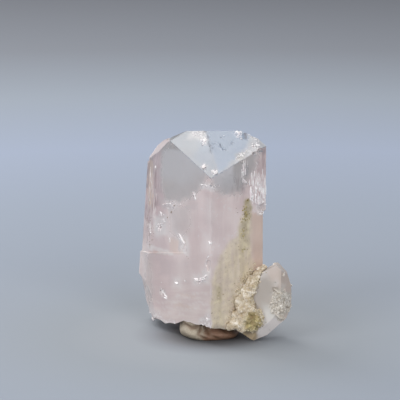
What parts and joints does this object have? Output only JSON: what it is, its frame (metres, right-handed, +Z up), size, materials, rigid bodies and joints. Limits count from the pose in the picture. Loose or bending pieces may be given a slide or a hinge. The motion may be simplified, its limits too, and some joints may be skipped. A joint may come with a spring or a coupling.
{
  "type": "danburite crystal specimen",
  "caption": "Upright wedge-tipped clear crystal with a small side crystal, a granular crust between them and a pressed putty foot.",
  "frame": {"origin": "middle of the specimen's footprint, on the surface it rests on", "axes": "+Z up along the main crystal, -Y towards its front edge and bright sloping top face, +X towards the side crystal"},
  "size_m": [0.0291, 0.0206, 0.0391],
  "materials": {
    "clear_danburite": "vitreous natural faces, clear to milky",
    "frosted_danburite": "etched vitreous faces",
    "clay_crust": "matt granular",
    "putty": "soft matt, finger-pressed"
  },
  "bodies": {
    "root": {"main_crystal": "clear_danburite", "side_crystal": "frosted_danburite", "matrix_crust": "clay_crust", "mounting_putty": "putty"}
  },
  "joints": []
}
